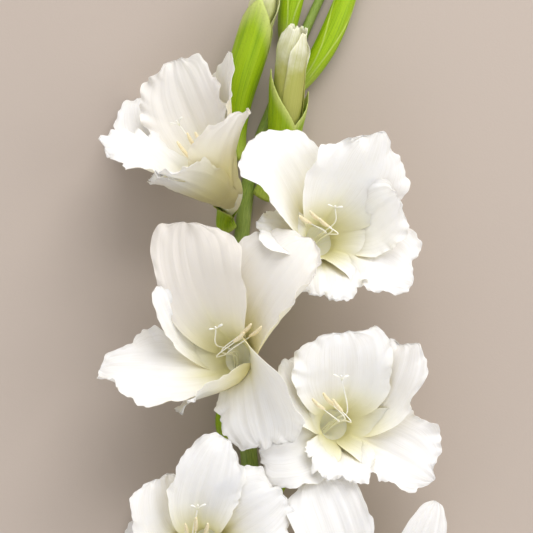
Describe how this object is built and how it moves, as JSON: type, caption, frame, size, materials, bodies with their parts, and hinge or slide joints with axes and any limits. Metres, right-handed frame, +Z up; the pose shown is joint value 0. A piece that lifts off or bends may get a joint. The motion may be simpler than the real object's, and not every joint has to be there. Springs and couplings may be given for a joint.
{
  "type": "cut gladiolus flower spike",
  "caption": "Cut flower spike laid on its back: a bare stem with open ruffled funnel flowers, part-open buds and green tip buds.",
  "frame": {"origin": "on the surface that the spike lies on, under the middle of its outline", "axes": "+Y along the stem towards the tip, +X to the right seen from above, +Z up, the way the flowers face"},
  "size_m": [0.2046, 0.7024, 0.0987],
  "materials": {
    "petal": "thin soft petal, slightly translucent, satin, fine pleats",
    "throat": "yellow-green fleshy tube with cream stamens, satin",
    "spathe": "smooth green bract with fine ribs along it, semi-gloss",
    "stem": "fibrous green stem, satin",
    "leaf": "sword leaf with parallel veins, semi-matt"
  },
  "bodies": {
    "root": {"bud_left_petals": "petal", "bud_left_spathe": "spathe", "bud_right_petals": "petal", "bud_right_spathe": "spathe", "floret_1_spathe": "spathe", "floret_1_tepal_dorsal": "petal", "floret_1_tepal_left_lower": "petal", "floret_1_tepal_left_upper": "petal", "floret_1_tepal_lip": "petal", "floret_1_tepal_right_lower": "petal", "floret_1_tepal_right_upper": "petal", "floret_1_tube": "throat", "floret_2_spathe": "spathe", "floret_2_tepal_dorsal": "petal", "floret_2_tepal_left_lower": "petal", "floret_2_tepal_left_upper": "petal", "floret_2_tepal_lip": "petal", "floret_2_tepal_right_lower": "petal", "floret_2_tepal_right_upper": "petal", "floret_2_tube": "throat", "floret_3_spathe": "spathe", "floret_3_tepal_dorsal": "petal", "floret_3_tepal_left_lower": "petal", "floret_3_tepal_left_upper": "petal", "floret_3_tepal_lip": "petal", "floret_3_tepal_right_lower": "petal", "floret_3_tepal_right_upper": "petal", "floret_3_tube": "throat", "floret_4_spathe": "spathe", "floret_4_tepal_dorsal": "petal", "floret_4_tepal_left_lower": "petal", "floret_4_tepal_left_upper": "petal", "floret_4_tepal_lip": "petal", "floret_4_tepal_right_lower": "petal", "floret_4_tepal_right_upper": "petal", "floret_4_tube": "throat", "floret_5_spathe": "spathe", "floret_5_tepal_dorsal": "petal", "floret_5_tepal_left_lower": "petal", "floret_5_tepal_left_upper": "petal", "floret_5_tepal_lip": "petal", "floret_5_tepal_right_lower": "petal", "floret_5_tepal_right_upper": "petal", "floret_5_tube": "throat", "floret_6_spathe": "spathe", "floret_6_tepal_dorsal": "petal", "floret_6_tepal_left_lower": "petal", "floret_6_tepal_left_upper": "petal", "floret_6_tepal_lip": "petal", "floret_6_tepal_right_lower": "petal", "floret_6_tepal_right_upper": "petal", "floret_6_tube": "throat", "leaf_lower": "leaf", "leaf_upper": "leaf", "stem": "stem", "tip_bud_1": "spathe", "tip_bud_2": "spathe", "tip_bud_3": "spathe", "tip_bud_4": "spathe"}
  },
  "joints": []
}
